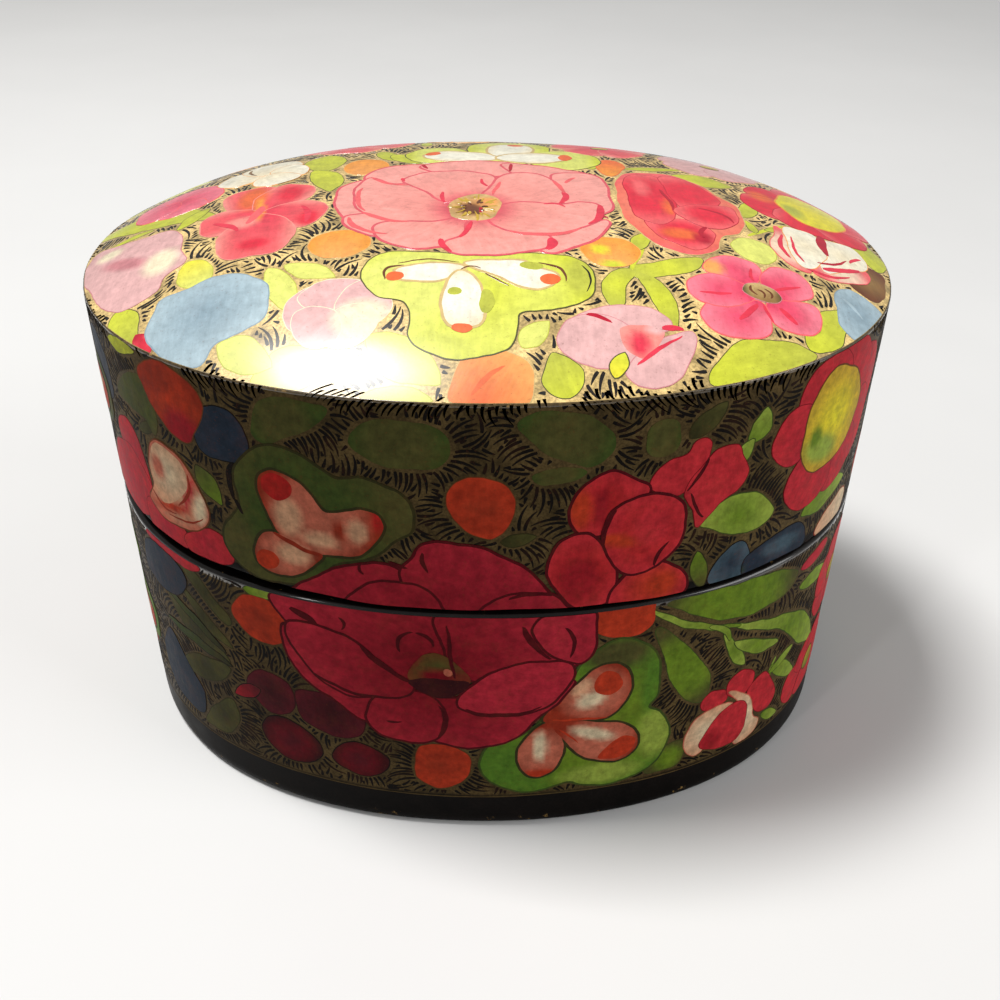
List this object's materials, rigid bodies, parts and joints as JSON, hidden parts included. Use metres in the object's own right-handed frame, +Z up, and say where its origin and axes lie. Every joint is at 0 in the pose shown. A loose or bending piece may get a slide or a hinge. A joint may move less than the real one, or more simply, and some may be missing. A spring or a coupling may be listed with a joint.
{
  "type": "papier mache box",
  "caption": "Oval lidded trinket box with straight walls and a domed lift-off lid located by an inner collar, painted all over with flowers.",
  "frame": {"origin": "middle of the face the box rests on", "axes": "+Z up, the way the lid lifts off; +X along the long axis of the oval; +Y across it, away from the side that the picture shows"},
  "size_m": [0.1, 0.079, 0.0708],
  "materials": {
    "painted_body": "lacquered papier mache, painted flowers on black",
    "black_base": "black painted papier mache board",
    "black_lining": "black painted papier mache, satin",
    "painted_lid": "lacquered papier mache, painted flowers on black",
    "painted_crown": "lacquered papier mache, painted flowers on black"
  },
  "bodies": {
    "body": {"body_band": "painted_body", "body_floor": "black_base", "inner_collar": "black_lining"},
    "lid": {"lid_band": "painted_lid", "lid_crown": "painted_crown"}
  },
  "joints": [
    {"name": "lid_lift", "type": "slide", "parent": "body", "child": "lid", "axis": [0, 0, 1], "range_m": [0, 0.06]}
  ]
}
